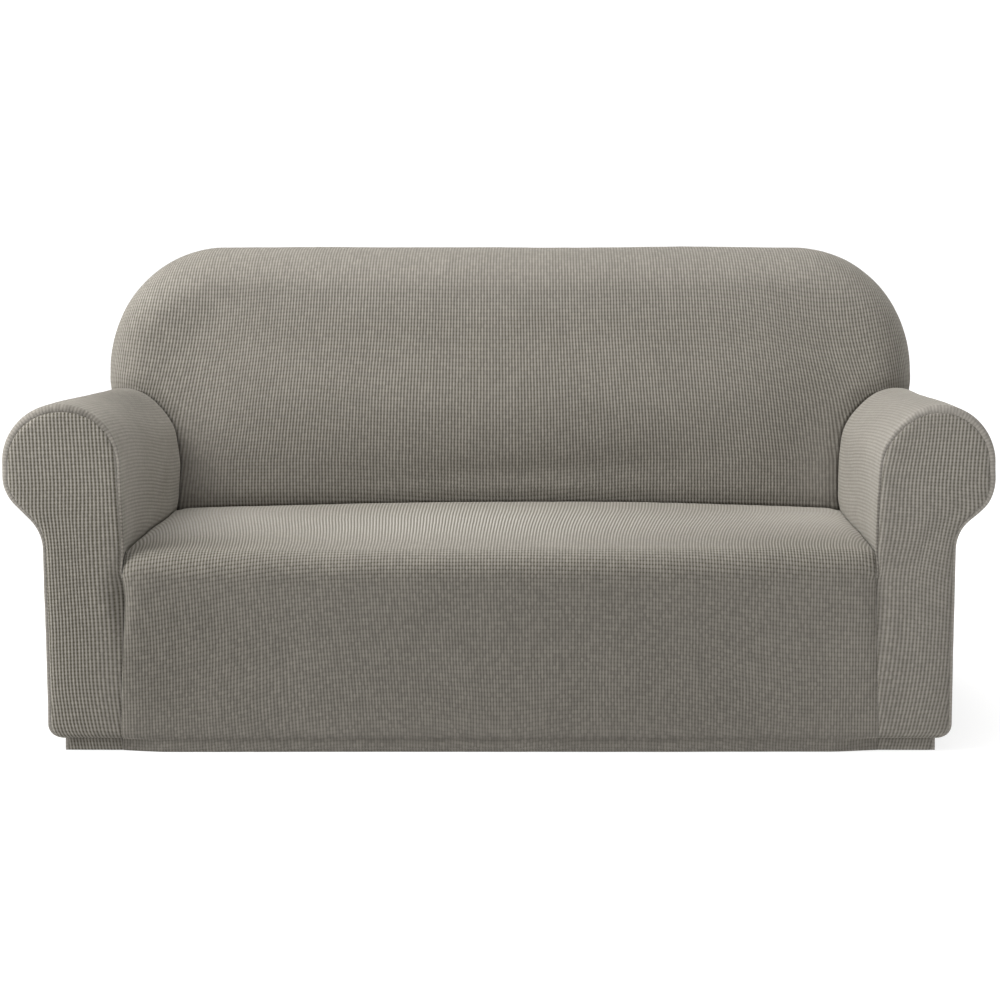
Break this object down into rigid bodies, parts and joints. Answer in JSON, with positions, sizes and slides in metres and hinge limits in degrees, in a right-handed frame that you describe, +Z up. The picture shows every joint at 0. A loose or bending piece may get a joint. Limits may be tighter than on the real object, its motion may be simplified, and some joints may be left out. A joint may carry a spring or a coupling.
{
  "type": "sofa slipcover",
  "caption": "Fitted stretch slipcover for a rolled-arm sofa, hollow and open at the bottom, with a raised small-check knit and a hem band.",
  "frame": {"origin": "middle of the cover's box at the bottom edge of the hem, which hangs about 38 mm above the floor the sofa stands on", "axes": "+X along the sofa towards the sitter's left arm, which is on the right seen from the front; +Y from the front to the rear; +Z up"},
  "size_m": [1.806, 0.8866, 0.9226],
  "materials": {
    "ribbed_knit": "matt taupe stretch knit with small raised checks in upright ribs"
  },
  "bodies": {
    "root": {"seat_front": "ribbed_knit", "inner_back": "ribbed_knit", "outer_back": "ribbed_knit", "arm_left": "ribbed_knit", "arm_right": "ribbed_knit", "arm_front_left": "ribbed_knit", "arm_front_right": "ribbed_knit"}
  },
  "joints": []
}
